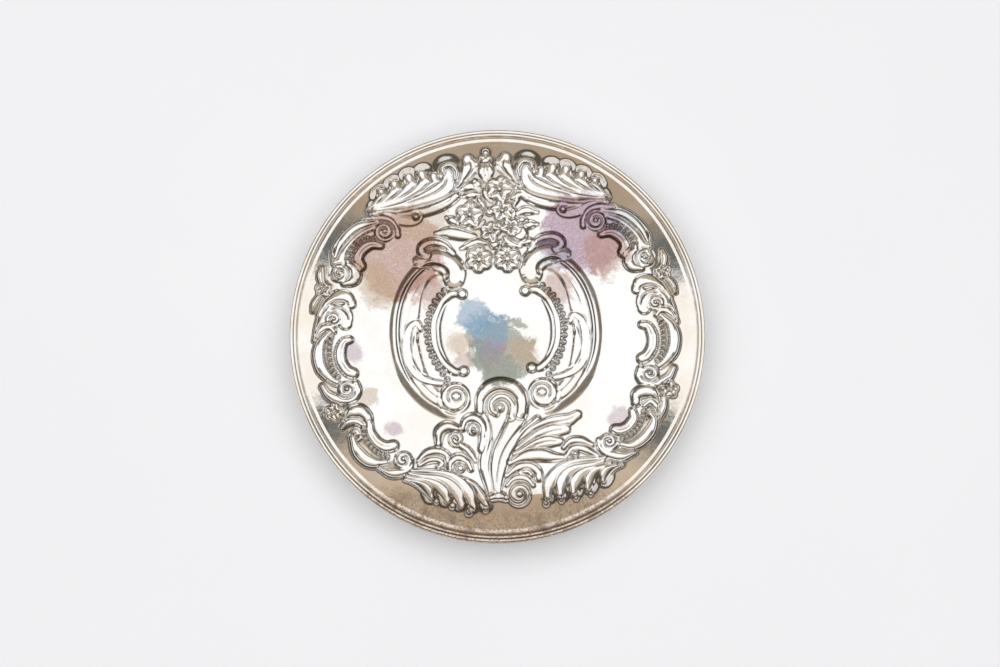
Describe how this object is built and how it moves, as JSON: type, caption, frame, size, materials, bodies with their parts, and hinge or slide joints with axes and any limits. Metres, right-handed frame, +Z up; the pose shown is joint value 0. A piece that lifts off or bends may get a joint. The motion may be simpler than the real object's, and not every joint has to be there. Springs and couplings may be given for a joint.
{
  "type": "powder compact",
  "caption": "Round silver powder compact with an embossed lid, inner mirror, self-opening inner lid over a powder well, and push-button catch.",
  "frame": {"origin": "centre of the flat underside that the compact rests on", "axes": "+Z up through the lid, +Y towards the lid hinge, +X to the right seen from the catch"},
  "size_m": [0.08, 0.08, 0.0129],
  "materials": {
    "silver": "polished silver with tan and brown tarnish in the hollows",
    "gilt": "polished gilt metal with light wear",
    "steel": "satin steel",
    "mirror_glass": "bevelled silvered glass",
    "backing_card": "plain brown card",
    "powder": "fine loose face powder",
    "gauze": "fine open gauze",
    "velour": "soft short-pile velour",
    "satin": "satin ribbon"
  },
  "bodies": {
    "base": {"base_shell": "silver", "base_collar": "gilt", "base_hinge_leaf": "silver", "hinge_pin": "steel", "powder_pan": "gilt", "powder_bed": "powder", "sifter_ring": "gilt", "sifter_gauze": "gauze", "puff_pad": "velour", "puff_ribbon": "satin", "inner_hinge_bracket": "gilt", "inner_hinge_pin": "steel", "catch_housing": "steel", "catch_spring": "steel"},
    "lid": {"lid_cover": "silver", "lid_liner": "gilt", "lid_hinge_leaf": "silver", "mirror_pad": "backing_card", "mirror_glass": "mirror_glass", "mirror_bezel": "gilt", "catch_keeper": "steel"},
    "inner_lid": {"inner_lid": "gilt", "inner_lid_tab": "gilt"},
    "push_button": {"push_button": "silver", "latch_bolt": "steel"}
  },
  "joints": [
    {"name": "lid_hinge", "type": "hinge", "parent": "base", "child": "lid", "pos_m": [0, 0.0386, 0.00505], "axis": [-1, 0, 0], "range_deg": [0, 110]},
    {"name": "inner_lid_hinge", "type": "hinge", "parent": "base", "child": "inner_lid", "pos_m": [0, 0.0349, 0.00615], "axis": [-1, 0, 0], "range_deg": [0, 88]},
    {"name": "catch_press", "type": "slide", "parent": "base", "child": "push_button", "axis": [0, 1, 0], "range_m": [0, 0.0007], "stiffness_N_per_m": 1200, "springref_m": -0.001, "deforming": ["catch_spring"]}
  ],
  "couplings": [
    {"joint": "inner_lid_hinge", "follows": "lid_hinge", "ratio": 0.8}
  ]
}
